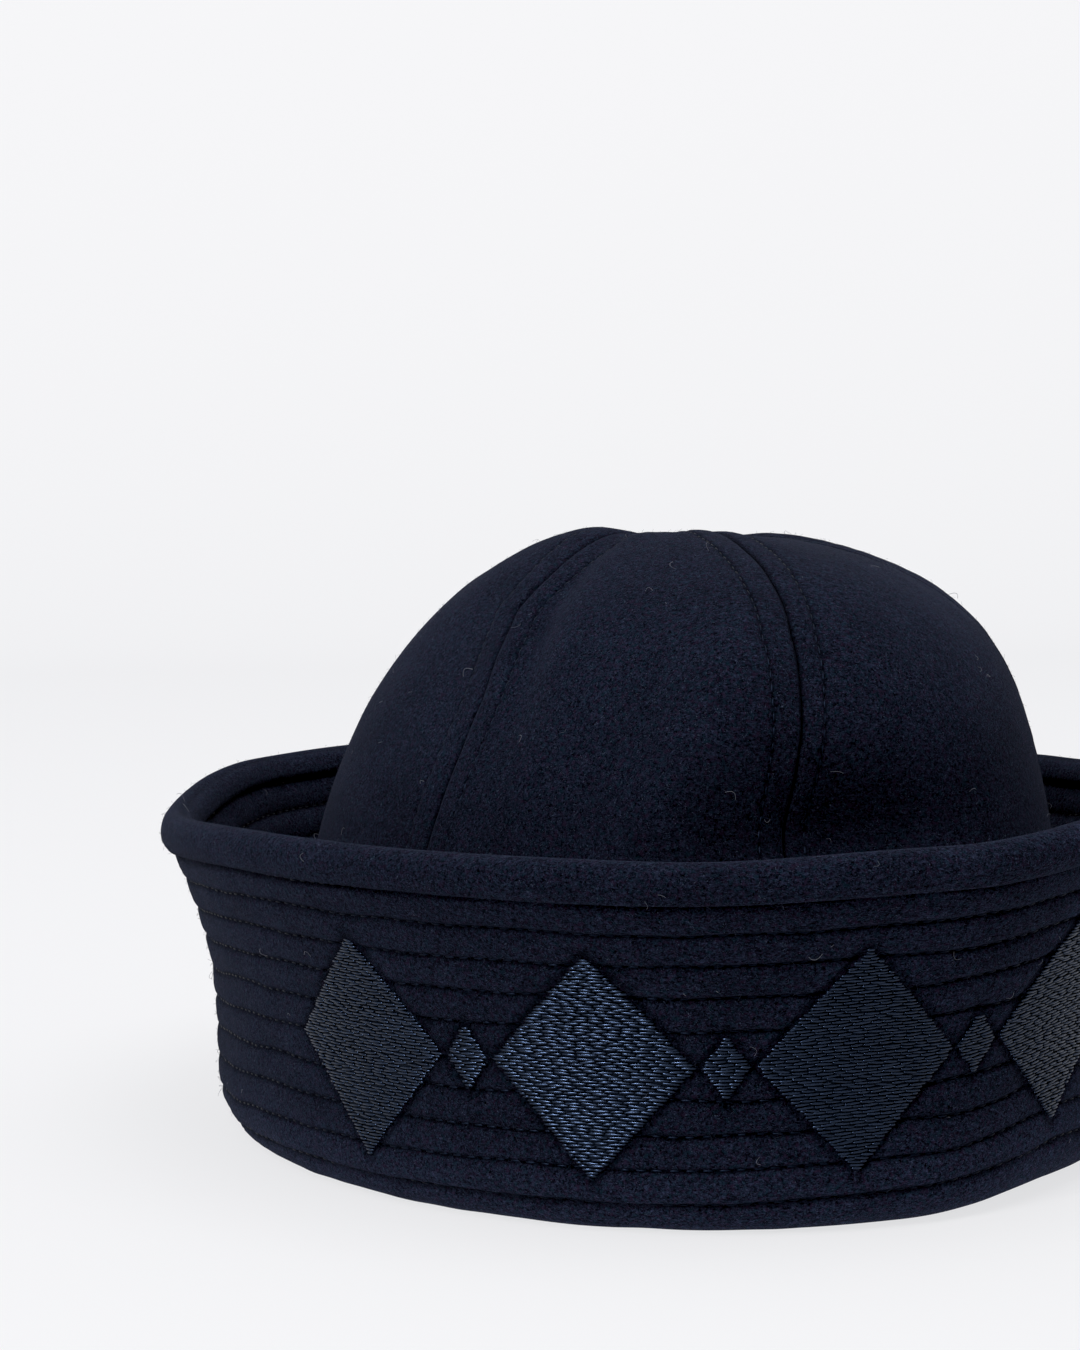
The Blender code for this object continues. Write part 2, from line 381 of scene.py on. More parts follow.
threadLooks = {
    "navy": {"dark": (0.0010, 0.0016, 0.0040, 1.0), "light": (0.0036, 0.0056, 0.0125, 1.0), "rough": 0.50,
             "sheen": 0.0, "gloss": 0.15},
    "steel": {"dark": (0.0010, 0.0017, 0.0035, 1.0), "light": (0.0092, 0.0138, 0.0260, 1.0), "rough": 0.31,
              "sheen": 0.0, "gloss": 0.46},
    "underlay": {"dark": (0.0008, 0.0012, 0.0024, 1.0), "light": (0.0022, 0.0032, 0.0060, 1.0), "rough": 0.60,
                 "sheen": 0.0, "gloss": 0.2},
    "nap": {"dark": (0.0040, 0.0052, 0.0110, 1.0), "light": (0.0360, 0.0460, 0.0800, 1.0), "rough": 0.75,
            "sheen": 0.05, "gloss": 0.1},
    "lint": {"dark": (0.050, 0.056, 0.075, 1.0), "light": (0.26, 0.27, 0.32, 1.0), "rough": 0.75,
             "sheen": 0.1, "gloss": 0.1},
}
threadFinish = {
    "grainScale": 2600.0,
    "toneShare": 0.65,
    "grainShare": 0.35,
    "roughSpread": 0.16,
    "glossTint": (0.38, 0.56, 1.0, 1.0),
    "bump": 0.35,
    "depth": 0.06 * mm,
}


def makeThread(name, look, finish):
    material, tree, shader, place = newMaterial(name)
    grain = noiseAt(tree, place, finish["grainScale"], 2.0, 0.6)
    blend = plus(tree, times(tree, fromPoints(tree, "tone"), finish["toneShare"]),
                 times(tree, grain, finish["grainShare"]))
    smoothest = look["rough"] - finish["roughSpread"] / 2
    bumped = outputOf(tree, "ShaderNodeBump", Strength=finish["bump"], Distance=finish["depth"], Height=grain)
    feedAll(tree, shader, {
        "Base Color": mixColours(tree, blend, look["dark"], look["light"]),
        "Roughness": plus(tree, times(tree, grain, finish["roughSpread"]), smoothest),
        "Sheen Weight": look["sheen"],
        "Specular IOR Level": look["gloss"],
        "Specular Tint": finish["glossTint"],
        "Normal": bumped,
    })
    return material


brimWool = makeWool("brimWool", woolLook)
crownWool = makeWool("crownWool", crownLookWithPaintedShade)
threads = {name: makeThread(name + "Thread", look, threadFinish) for name, look in threadLooks.items()}
print("materials ready")

# Geometry Nodes trees: stitches along guide lines, and short fibres over a surface

meshAndMaterial = {"Geometry": "Geometry", "Material": "Material"}


def newGeometryTree(name, sizes):
    return newTree("Geometry", name, meshAndMaterial, sizes, {"Geometry": "Geometry"})


def fromMesh(tree, name, kind="FLOAT"):
    node = addNode(tree, "GeometryNodeInputNamedAttribute", {"data_type": kind}, Name=name)
    return plug(node.outputs, "Attribute")


def randomValue(tree, low, high, seed):
    node = addNode(tree, "FunctionNodeRandomValue", {"data_type": "FLOAT"}, Min=low, Max=high, Seed=seed)
    return plug(node.outputs, "Value")


def uprightTurn(tree, along):
    # X along the stitch, Z away from the cloth
    laid = outputOf(tree, "FunctionNodeAlignRotationToVector", {"axis": "X"}, Vector=along)
    return outputOf(tree, "FunctionNodeAlignRotationToVector", {"axis": "Z", "pivot_axis": "X"},
                    Rotation=laid, Vector=fromMesh(tree, "facing", "FLOAT_VECTOR"))


def furtherTurn(tree, rotation, angles):
    spin = outputOf(tree, "FunctionNodeEulerToRotation", Euler=angles)
    return outputOf(tree, "FunctionNodeRotateRotation", {"rotation_space": "LOCAL"}, Rotation=rotation,
                    Rotate_By=spin)


def placeShapes(tree, given, end, points, shape, rotation, size, seed):
    # a shape with its own random tone on each point, then one real mesh with its material
    placed = outputOf(tree, "GeometryNodeInstanceOnPoints", Points=points, Instance=shape, Rotation=rotation,
                      Scale=size)
    toned = outputOf(tree, "GeometryNodeStoreNamedAttribute", {"data_type": "FLOAT", "domain": "INSTANCE"},
                     Geometry=placed, Name="tone", Value=randomValue(tree, 0.0, 1.0, seed))
    real = outputOf(tree, "GeometryNodeRealizeInstances", Geometry=toned)
    smooth = outputOf(tree, "GeometryNodeSetShadeSmooth", Geometry=real)
    painted = outputOf(tree, "GeometryNodeSetMaterial", Geometry=smooth, Material=given["Material"])
    feedAll(tree, end, {"Geometry": painted})


def makeBall(tree, segments, rings):
    return outputOf(tree, "GeometryNodeMeshUVSphere", Segments=segments, Rings=rings, Radius=0.5)


def makeStitchTree():
    tree, given, end = newGeometryTree("stitchRows", {
        "Pitch": 3 * mm, "Length": 2.6 * mm, "Thickness": 0.45 * mm, "Sides": 5, "Rings": 4, "Wobble": 0.05,
        "Seed": 1})
    curve = outputOf(tree, "GeometryNodeMeshToCurve", Mesh=given["Geometry"])
    spaced = outputOf(tree, "GeometryNodeResampleCurve", {"mode": "LENGTH"}, Curve=curve,
                      Length=given["Pitch"])
    ball = makeBall(tree, given["Sides"], given["Rings"])
    tangent = outputOf(tree, "GeometryNodeInputTangent")
    swing = vectorOf(tree, z=times(tree, randomValue(tree, -1.0, 1.0, 7), given["Wobble"]))
    turned = furtherTurn(tree, uprightTurn(tree, tangent), swing)
    size = vectorOf(tree, given["Length"], given["Thickness"], given["Thickness"])
    placeShapes(tree, given, end, spaced, ball, turned, size, given["Seed"])
    return tree


def makeFillTree():
    # one stitch on each point, as long as the point's span
    tree, given, end = newGeometryTree("fillStitches", {
        "Thickness": 0.6 * mm, "Height": 0.5 * mm, "Sides": 5, "Rings": 4, "Seed": 1})
    ball = makeBall(tree, given["Rings"], given["Sides"])
    laid = outputOf(tree, "GeometryNodeTransform", Geometry=ball, Rotation=(0.0, math.pi / 2, 0.0))
    turned = uprightTurn(tree, fromMesh(tree, "along", "FLOAT_VECTOR"))
    size = vectorOf(tree, fromMesh(tree, "span"), given["Thickness"], given["Height"])
    placeShapes(tree, given, end, given["Geometry"], laid, turned, size, given["Seed"])
    return tree


def makeFibreTree():
    tree, given, end = newGeometryTree("strayFibres", {
        "Density": 50000.0, "Length": 1.6 * mm, "Thickness": 0.05 * mm, "Curl": 0.35, "Tilt": 0.35,
        "Steps": 2, "Seed": 1})
    density = times(tree, given["Density"], fromMesh(tree, "shown"))
    points = addNode(tree, "GeometryNodeDistributePointsOnFaces", Mesh=given["Geometry"], Density=density,
                     Seed=given["Seed"])
    # a fibre one unit long, bent sideways by its curl
    strand = outputOf(tree, "GeometryNodeCurveQuadraticBezier", Resolution=given["Steps"],
                      Start=(0.0, 0.0, 0.0), Middle=vectorOf(tree, 0.5, given["Curl"], 0.12),
                      End=(1.0, 0.0, 0.05))
    ring = outputOf(tree, "GeometryNodeCurvePrimitiveCircle", Resolution=3, Radius=0.5)
    thinness = maths(tree, "DIVIDE", given["Thickness"], given["Length"])
    tube = outputOf(tree, "GeometryNodeCurveToMesh", Curve=strand, Profile_Curve=ring, Scale=thinness,
                    Fill_Caps=True)
    tilt = times(tree, randomValue(tree, -1.0, 0.1, 3), given["Tilt"])
    spin = vectorOf(tree, randomValue(tree, -1.2, 1.2, 9), tilt, randomValue(tree, 0.0, fullTurn, 5))
    turned = furtherTurn(tree, points.outputs["Rotation"], spin)
    long = times(tree, given["Length"], randomValue(tree, 0.45, 1.35, 11))
    size = vectorOf(tree, long, long, long)
    placeShapes(tree, given, end, points.outputs["Points"], tube, turned, size, 13)
    return tree


stitchTree = makeStitchTree()
fillTree = makeFillTree()
fibreTree = makeFibreTree()


def runTree(item, tree, values):
    # the tree's result becomes the object's own plain mesh
    modifier = item.modifiers.new(tree.name, "NODES")
    modifier.node_group = tree
    for entry in tree.interface.items_tree:
        if entry.in_out == "INPUT" and entry.name in values:
            modifier[entry.identifier] = values[entry.name]
    graph = bpy.context.evaluated_depsgraph_get()
    result = bpy.data.meshes.new_from_object(item.evaluated_get(graph))
    item.modifiers.clear()
    old = item.data
    item.data = result
    bpy.data.meshes.remove(old)
    result.name = item.name


def guideObject(name, lines):
    # lines are (points, facing normals, closed)
    points, facing, edges = [], [], []
    for places, normals, closed in lines:
        first, last = len(points), len(points) + len(places) - 1
        points.extend(places)
        facing.extend(normals)
        edges.extend((step, step + 1) for step in range(first, last))
        if closed:
            edges.append((last, first))
    item = meshObject(name, points, [], edges=edges)
    addValues(item, "facing", facing, "FLOAT_VECTOR")
    return item


# Embroidery plan: plain diamonds in a row round the front, measured along the brim and down from the roll

embroidery = lengths(
    spacing=54.0, halfWidth=21.0, halfHeight=23.0, smallHalfWidth=4.8, smallHalfHeight=6.8, middle=37.0,
    rowPitch=0.64, stitchLength=3.2, overlap=0.35, level=0.10, threadLift=0.34,
    raggedEdge=0.18, unevenLength=0.30, unevenLift=0.03, unevenAim=0.05,
    shortest=0.5,  # a row narrower than this is left out
    endStitch=0.9,
    ground=0.24, groundEdge=1.0, groundSunk=0.1, groundDepth=1.2, groundInset=0.2, groundTrim=0.8,
    groundTip=0.4,
)
needleShift, needleStray = 0.39, 0.09  # from row to row, in shares of a stitch
embroideryThread = {"Thickness": 0.60 * mm, "Height": 0.55 * mm, "Sides": 4, "Rings": 5, "Seed": 41}


def motifs():
    # middle, half-width and half-height: five large ones, then a small one between each two
    plan = embroidery
    big = [(step * plan["spacing"], plan["halfWidth"], plan["halfHeight"]) for step in range(-2, 3)]
    small = [((step + 0.5) * plan["spacing"], plan["smallHalfWidth"], plan["smallHalfHeight"])
             for step in range(-2, 2)]
    return big + small


# Brim: one turned-up band of two quilted layers

brim = lengths(
    height=75.0, wall=5.2, standoff=18.0, flare=12.0, flareStart=18.5, footWidth=8.0, footHeight=12.0,
    rimThickness=8.4, rimDepth=10.4, rowPitch=6.9,
    firstRow=2.5,  # below the middle of the rim's roll
    waves=0.45, waveEnd=52.0, waveFade=45.0, waveTall=30.0,
    fold=0.35,  # where the roll's inner edge is sewn down
    # painted bounce light from the floor: where the brim's lower rows start to be painted lighter, and over
    # how long
    wornStart=48.0, wornFade=18.0,
    napAbove=6.0, innerNapAbove=25.0,
)
brim.update(
    rows=10, sections=620, rimWrap=20, rimRings=20, rimUneven=0.03, rimLumps=0.035, rimWorn=0.12,
    foldAt=128, foldWidth=9,  # in degrees of the roll
)

quilt = lengths(
    puff=0.52, innerPuff=0.5, shoulder=1.25, groove=0.42, grooveWidth=0.46, wander=0.42,
    pucker=0.20, puckerReach=1.6, lumps=0.20, lumpTall=4.5,
    press=0.40, pressFade=1.2, pressAt=0.6, pressWidth=0.8, clearOfMotif=0.4,
)
# pressShade: painted shade in the ring round each motif
quilt.update(fullness=1.4, uneven=0.30, finePucker=0.5, tailStart=0.35, tailRows=1.4, pressShade=0.75)

# Round the cap, from the front towards +X: rim height, standoff, flare, and the foot's lift
brimRound = {
    "turn": [-180, -140, -107, -62, -17, 6, 28, 62, 110, 140, 180],
    "height": [0.995, 0.985, 0.925, 0.975, 0.985, 1.010, 1.060, 1.070, 0.990, 0.970, 0.995],
    "standoff": [1.00, 1.00, 1.00, 1.00, 1.00, 0.95, 0.80, 0.76, 0.95, 1.00, 1.00],
    "flare": [1.00, 0.93, 0.88, 0.96, 1.00, 1.06, 1.28, 1.34, 1.06, 1.00, 1.00],
    "lift": [0.00, 0.00, 0.00, 0.00, 0.00, 0.03, 0.20, 0.26, 0.05, 0.00, 0.00],
}
tableAngles = 720
tableStep = 0.25 * mm
wallSteps, footSteps, underSteps = 160, 60, 12


def roundValue(turn, column):
    turns, values = np.array(brimRound["turn"]), np.array(brimRound[column])
    index = np.clip(np.searchsorted(turns, turn, side="right") - 1, 0, len(turns) - 2)
    share = eased((turn - turns[index]) / (turns[index + 1] - turns[index]))
    return values[index] + (values[index + 1] - values[index]) * share


def brimTables():
    # the outer face all round, read by distance from the rim roll's middle down and under
    angle = np.arange(tableAngles) * fullTurn / tableAngles
    x, y, _, _ = ovalAt(angle)
    turn = wrapped(np.degrees(np.arctan2(y, x)) + 90)[:, None]
    standoff = brim["standoff"] * roundValue(turn, "standoff")
    flare = brim["flare"] * roundValue(turn, "flare")
    lift = brim["footHeight"] * roundValue(turn, "lift")
    top = brim["height"] * roundValue(turn, "height") - brim["rimDepth"] / 2
    knee = lift + brim["footHeight"]
    share = np.linspace(0, 1, wallSteps, endpoint=False)[None, :]
    level = top + (knee - top) * share
    out = standoff + flare * (np.maximum(0, level - brim["flareStart"]) / (top - brim["flareStart"])) ** 2
    bend = np.linspace(0, math.pi / 2, footSteps, endpoint=False)[None, :]
    arcOut = standoff - brim["footWidth"] * (1 - np.cos(bend))
    arcLevel = knee - brim["footHeight"] * np.sin(bend)
    flat = np.linspace(0, 1, underSteps, endpoint=False)[None, :]
    flatStart = standoff - brim["footWidth"]
    flatOut = flatStart + (cap["cloth"] - flatStart) * flat
    flatLevel = lift * (1 - flat)
    lastOut = np.repeat([[cap["cloth"], -cap["cloth"]]], tableAngles, 0)
    out = np.concatenate([out, arcOut, flatOut, lastOut], 1)
    level = np.concatenate([level, arcLevel, flatLevel, 0 * lastOut], 1)
    marks = np.concatenate([0 * turn, np.cumsum(np.hypot(np.diff(out), np.diff(level)), 1)], 1)
    steps = np.arange(int(marks.max() / tableStep) + 2) * tableStep
    outTable = np.array([np.interp(steps, m, o) for m, o in zip(marks, out)])
    levelTable = np.array([np.interp(steps, m, z) for m, z in zip(marks, level)])
    return outTable, levelTable, marks[:, -1]


def normalTables(out, level):
    slope = np.stack([np.gradient(out, axis=1), np.gradient(level, axis=1)], -1)
    slope /= np.maximum(np.linalg.norm(slope, axis=-1, keepdims=True), 1e-9)
    stuck = np.linalg.norm(slope, axis=-1) < 0.5  # past the face's end
    slope[stuck] = (-1.0, 0.0)
    return -slope[..., 1], slope[..., 0]


brimOut, brimLevel, brimLength = brimTables()
brimNormalOut, brimNormalUp = normalTables(brimOut, brimLevel)


def readTable(table, angle, distance):
    a = np.asarray(angle) / fullTurn * tableAngles
    low = np.floor(a).astype(int)
    between = a - low
    d = np.clip(np.asarray(distance) / tableStep, 0, table.shape[1] - 1.001)
    step = np.floor(d).astype(int)
    part = d - step
    low, high = low % tableAngles, (low + 1) % tableAngles
    first = table[low, step] * (1 - part) + table[low, step + 1] * part
    second = table[high, step] * (1 - part) + table[high, step + 1] * part
    return first * (1 - between) + second * between


def lengthAt(angle):
    return np.interp(np.asarray(angle) % fullTurn, np.arange(tableAngles + 1) * fullTurn / tableAngles,
                     np.append(brimLength, brimLength[0]))


# The way round the brim's outside, for places measured along it
outsideFromCrown = 22 * mm
arcAngles = np.linspace(0, fullTurn, 2 * tableAngles + 1)
arcX, arcY, arcNx, arcNy = ovalAt(arcAngles)
arcX, arcY = arcX + arcNx * outsideFromCrown, arcY + arcNy * outsideFromCrown
arcMarks = np.append(0, np.cumsum(np.hypot(np.diff(arcX), np.diff(arcY))))
brimRoundLength = arcMarks[-1]
arcFront = np.interp(1.5 * math.pi, arcAngles, arcMarks)


def arcOf(angle):
    return np.interp(np.asarray(angle) % fullTurn, arcAngles, arcMarks)


def angleOfArc(arc):
    return np.interp(np.asarray(arc) % brimRoundLength, arcMarks, arcAngles)


wanderNoise = makeNoise(11, 60)
puckerNoise = makeNoise(12, 330)
puckerNoiseFine = makeNoise(13, 620)
lumpNoise = makeNoise(14, 96)
waveNoise = makeNoise(15, 13)


def wanderAt(angle, row):
    return quilt["wander"] * wanderNoise(np.asarray(angle) / fullTurn, row * 1.7)


def embroideryInside(angle, distance):
    # how far a place lies inside the nearest motif, below nothing outside them all
    across = (arcOf(angle) - arcFront + brimRoundLength / 2) % brimRoundLength - brimRoundLength / 2
    down = distance - embroidery["middle"]
    inside = -1.0 + 0 * (across + down)
    for middle, wide, tall in motifs():
        share = 1 - np.abs(across - middle) / wide - np.abs(down) / tall
        inside = np.maximum(inside, share * wide * tall / math.hypot(wide, tall))
    return inside


def quiltRise(angle, distance, side):
    # the cloth's rise over the plain face, and how deep in a stitched groove each place lies, for the painted
    # shade there
    u = np.asarray(angle) / fullTurn
    row = (distance - brim["firstRow"]) / brim["rowPitch"]
    row = row - wanderAt(angle, row) / brim["rowPitch"]
    nearest = np.clip(np.round(row), 0, brim["rows"] - 1)
    gap = np.abs(row - nearest) * brim["rowPitch"]
    pillow = 1 - np.exp(-(gap / quilt["shoulder"]) ** quilt["fullness"])
    groove = np.exp(-(gap / quilt["grooveWidth"]) ** 2)
    puff = quilt["puff"] if side > 0 else quilt["innerPuff"]
    tail = 1 - eased((row - (brim["rows"] - 1) - quilt["tailStart"]) / quilt["tailRows"])
    varied = 1 + quilt["uneven"] * lumpNoise(u, row + 31 * side, 48)
    rise = puff * pillow * tail * varied - quilt["groove"] * groove
    pull = quilt["pucker"] * np.exp(-gap / quilt["puckerReach"])
    rise = rise + pull * puckerNoise(u, nearest * 1.31 + 7 * side)
    rise = rise + quilt["finePucker"] * pull * puckerNoiseFine(u, nearest * 2.17)
    rise = rise + quilt["lumps"] * tail * lumpNoise(u, distance / quilt["lumpTall"])
    if side > 0:
        inside = embroideryInside(angle, distance)
        pressed = eased(inside / quilt["pressFade"] + 0.5)
        ring = np.exp(-((inside + quilt["pressAt"]) / quilt["pressWidth"]) ** 2)
        rise = rise * (1 - pressed) + embroidery["level"] * pressed - quilt["press"] * ring
        # painted shade: a dark ring round each motif, none on the motif itself
        groove = np.maximum(groove * (1 - pressed), quilt["pressShade"] * ring)
    return rise, groove * tail


def bodyWave(angle, distance):
    # the whole wall's slow wave, none at the foot
    grow = eased((brim["waveEnd"] - distance) / brim["waveFade"])
    return brim["waves"] * grow * waveNoise(np.asarray(angle) / fullTurn, distance / brim["waveTall"])


def brimPoint(angle, distance, depth=0.0, rise=0.0):
    angle, distance = np.broadcast_arrays(np.asarray(angle, float), np.asarray(distance, float))
    x, y, nx, ny = ovalAt(angle)
    tables = (brimOut, brimLevel, brimNormalOut, brimNormalUp)
    out, level, normalOut, normalUp = [readTable(table, angle, distance) for table in tables]
    shift = rise - depth + bodyWave(angle, distance)
    out = out + normalOut * shift
    level = np.maximum(level + normalUp * shift, 0)
    place = np.stack([x + nx * out, y + ny * out, level], -1)
    normal = np.stack([nx * normalOut, ny * normalOut, normalUp], -1)
    return place, normal


def rimPoint(angle, bend):
    # the rolled upper edge: bend runs from the outer side, 0, over the top to the inner side, 180
    u = angle / fullTurn
    place, normal = brimPoint(angle, 0 * angle, depth=brim["wall"] / 2)
    x, y, nx, ny = ovalAt(angle)
    flat = normal[..., 0] * nx + normal[..., 1] * ny
    upwards = np.stack([-nx * normal[..., 2], -ny * normal[..., 2], flat], -1)
    arc = np.radians(bend)
    lump = 1 + brim["rimLumps"] * lumpNoise(u, arc * 1.4 + 5) + brim["rimUneven"] * lumpNoise(u, arc + 9, 40)
    folded = np.exp(-((bend - brim["foldAt"]) / brim["foldWidth"]) ** 2)
    thick = brim["rimThickness"] / 2 * lump - folded * brim["fold"]
    deep = brim["rimDepth"] / 2 * (1 + brim["rimUneven"] * lumpNoise(u, 3, 24)) - folded * brim["fold"]
    place = place + normal * (thick * np.cos(arc))[..., None] + upwards * (deep * np.sin(arc))[..., None]
    return place, folded


# Rings of points: shares of a row's pitch, and shares of the way from the last row round the foot
channelStops = [0.0, 0.055, 0.12, 0.21, 0.36, 0.64, 0.79, 0.88, 0.945]
innerStops = [0.0, 0.15, 0.5, 0.85]
tailStops = [0.06, 0.14, 0.24, 0.34, 0.43, 0.52, 0.6, 0.68, 0.78, 0.89, 1.0]
rimBends = np.linspace(-brim["rimWrap"], 180 + brim["rimWrap"], brim["rimRings"])


def faceStops(angle, stops, tails):
    # distances down the face for every section: the rows, then the way round the foot
    lastRow = brim["rows"] - 1
    shares = [row + stop for row in range(lastRow) for stop in stops] + [lastRow]
    distances = [0 * angle + brim["firstRow"] + share * brim["rowPitch"] for share in shares]
    tailStart = distances[-1]
    distances += [tailStart + (lengthAt(angle) - tailStart) * share for share in tails]
    return np.array(distances)


def makeBrim():
    angle = np.arange(brim["sections"]) * fullTurn / brim["sections"]
    plain = 0 * angle
    # groove holds painted shade, edge the rim's wear and painted bounce light
    rings = []  # points, groove, edge and shown of each
    for distance in faceStops(angle, channelStops, tailStops)[::-1]:
        rise, groove = quiltRise(angle, distance, 1)
        place, _ = brimPoint(angle, distance, rise=rise)
        # painted bounce light from the floor, growing down towards the foot
        wearAndPaintedBounce = eased((distance - brim["wornStart"]) / brim["wornFade"])
        rings.append((place, groove, wearAndPaintedBounce, 1.0 * (place[:, 2] > brim["napAbove"])))
    for bend in rimBends:
        place, folded = rimPoint(angle, bend + plain)
        # the roll's top worn lighter
        wearAndPaintedBounce = brim["rimWorn"] * max(0.0, math.sin(math.radians(bend)))
        # painted shade along the roll's sewn fold
        rings.append((place, 0.5 * folded, plain + wearAndPaintedBounce, plain + 1.0))
    for distance in faceStops(angle, innerStops, tailStops[2::2]):
        rise, groove = quiltRise(angle, distance, -1)
        place, _ = brimPoint(angle, distance, depth=brim["wall"], rise=-rise)
        rings.append((place, groove, plain, 0.5 * (place[:, 2] > brim["innerNapAbove"])))
    points, *values = [np.array(column) for column in zip(*rings)]
    item = meshObject("brimShell", points.reshape(-1, 3), gridFaces(*points.shape[:2], closed=True), brimWool)
    pointOutwards(item)
    for name, column in zip(("groove", "edge", "shown"), values):
        addValues(item, name, column)
    return item


brimShell = makeBrim()
joinCap(brimShell)
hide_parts("brim")
print("brim made")

# Crown: gores of wool cloth, sewn edge to edge

crown = lengths(
    height=132.0, puff=1.2, lean=4.5, lumps=0.16, lumpTall=9.0, waves=0.6, waveTall=34.0,
    seamDip=0.75, seamWidth=0.50, seamOverlap=0.03,
    topstitch=6.3,
    closeStitch=4.9,  # on the right of the front seam
    stitchDip=0.28, stitchWidth=0.50, pucker=0.14, puckerReach=1.8, puckerLong=2.3,
    welt=0.12, weltRise=1.3, weltEnd=0.8, weltFall=1.6,
    thinnest=0.3, tipOverlap=0.05, shiftRadius=20.0,
)
crown.update(
    panels=6, rows=130, roundness=2.8, puffFade=0.3, nearTop=0.12, leanTurn=73.0,
    closePanel=-60, stitchShade=0.7, waveCalm=0.8, mostInset=0.55,
    backSeams=0.62, frontSeams=0.38, frontTurn=30,  # how deep the seams lie, at the back and more in front
    # painted shade: the wool darkened in deep hollows, more the deeper they are
    shadeStart=2.5, shadeSpan=8, shade=0.062,  # a hollow's shade, over its depth in millimetres
)

# Dents in degrees and millimetres, each with half its width and height; a bulge has a depth below nothing
dentColumns = ("turn", "height", "wide", "tall", "depth")
crownDents = [dict(zip(dentColumns, row)) for row in (
    (-11, 79.0, 12.5, 13.0, 1.0),
    (12, 68.6, 11.7, 20.0, -1.0),
    (75, 92.4, 26.7, 21.7, 1.3),
    (-68, 105.6, 25.0, 20.0, 1.4),
    (0, 114.0, 34.0, 20.0, -4.0),
    (7, 75.0, 26.0, 15.0, 9.5),
    (-17, 86.0, 11.5, 17.0, -4.6),
    (-9, 103.0, 10.0, 12.0, -2.6),
    (-50, 110.0, 9.0, 22.0, 2.8),
    (62, 120.0, 32.0, 22.0, -1.7),
)]

# The slack top, on the crown's top fifth: a dip where the panels meet, a swelling beside it
topRelief = [lengths(x=0.0, y=0.0, wide=17.0, rise=-2.4), lengths(x=-18.0, y=-6.0, wide=16.0, rise=2.9)]
topStart, topGrow = 0.8, 0.15

# Seams that wander sideways: direction, then heights and the shift along the cloth at each, in millimetres
seamShifts = [
    {"turn": 0, "height": [40, 60, 75, 86, 95, 104, 114, 124, 132],
     "shift": [0.0, -5.0, -5.2, -3.8, -3.3, -3.6, -3.3, -0.9, 2.0]},
    {"turn": -60, "height": [40, 60, 76, 88, 99, 107, 117, 125, 132],
     "shift": [0.0, 4.0, 5.0, 5.0, 3.6, 1.2, -1.8, 0.0, 0.0]},
]
# Across a half panel, in millimetres from the seam for this topstitching, then in shares of the rest
nearSeamStops = [0.0, 0.25, 0.5, 0.8, 1.2, 1.8, 2.8, 4.0, 4.9, 5.45, 5.75, 6.0, 6.25, 6.55, 7.1, 8.2]
stopsTopstitch = 6.0
farSeamShares = [0.07, 0.16, 0.27, 0.40, 0.54, 0.69, 0.85, 1.0]

crownNoise = makeNoise(21, 60)
crownWaves = makeNoise(22, 11)
puckerCells = 64
crownPucker = makeNoise(23, puckerCells, 256)


def crownProfile():
    meanRadius = (halfWidth + halfLength) / 2
    seat = brim["wall"] + cap["seatGap"]
    bend = np.linspace(0, math.pi / 2, 1200)
    level = crown["height"] * np.sin(bend) ** (2 / crown["roundness"])
    radius = meanRadius * np.clip(np.cos(bend), 0, 1) ** (2 / crown["roundness"])
    radius, level = radius[level >= seat], level[level >= seat]
    radius, level = np.append(radius[0], radius), np.append(seat, level)
    marks = np.append(0, np.cumsum(np.hypot(np.diff(radius), np.diff(level))))
    places = marks[-1] * (np.arange(crown["rows"]) / crown["rows"])
    radius, level = np.interp(places, marks, radius), np.interp(places, marks, level)
    alongOut, alongUp = np.gradient(radius), np.gradient(level)
    size = np.hypot(alongOut, alongUp)
    return radius / meanRadius, level, alongUp / size, -alongOut / size, places


crownColumns = crownProfile()
crownShare = crownColumns[0]
meanHeadRadius = (cap["headWidth"] + cap["headLength"]) / 4


def dentDepth(turn, level):
    depth = 0 * turn
    for dent in crownDents:
        height, wide, tall, deep = [dent[name] * mm for name in dentColumns[1:]]
        across = np.radians(wrapped(turn - dent["turn"])) * meanHeadRadius
        depth = depth + deep * np.exp(-(across / wide) ** 2 - ((level - height) / tall) ** 2)
    return depth


def topRise(x, y, level):
    rise = 0 * x
    for spot in topRelief:
        away = (x - spot["x"]) ** 2 + (y - spot["y"]) ** 2
        rise = rise + spot["rise"] * np.exp(-away / spot["wide"] ** 2)
    return rise * np.clip((level / crown["height"] - topStart) / topGrow, 0, 1)


def seamShift(turn, height):
    shift = 0 * turn
    for seam in seamShifts:
        near = 1 - np.abs(wrapped(turn - seam["turn"])) / (360 / crown["panels"])
        shift = shift + eased(near) * mm * np.interp(height / mm, seam["height"], seam["shift"])
    return shift


def halfArcAt(direction, share):
    # half a panel's width along the cloth
    spread = np.hypot(np.cos(direction) / halfWidth, np.sin(direction) / halfLength)
    return share / spread * math.pi / crown["panels"]


def topstitchAt(middle, side, halfArc):
    # its distance from the seam, closer on the right of the front seam
    close = (abs(math.degrees(middle) - crown["closePanel"]) < 1) & (np.asarray(side) < 0)
    inset = np.where(close, crown["closeStitch"], crown["topstitch"])
    return np.minimum(inset, crown["mostInset"] * halfArc)


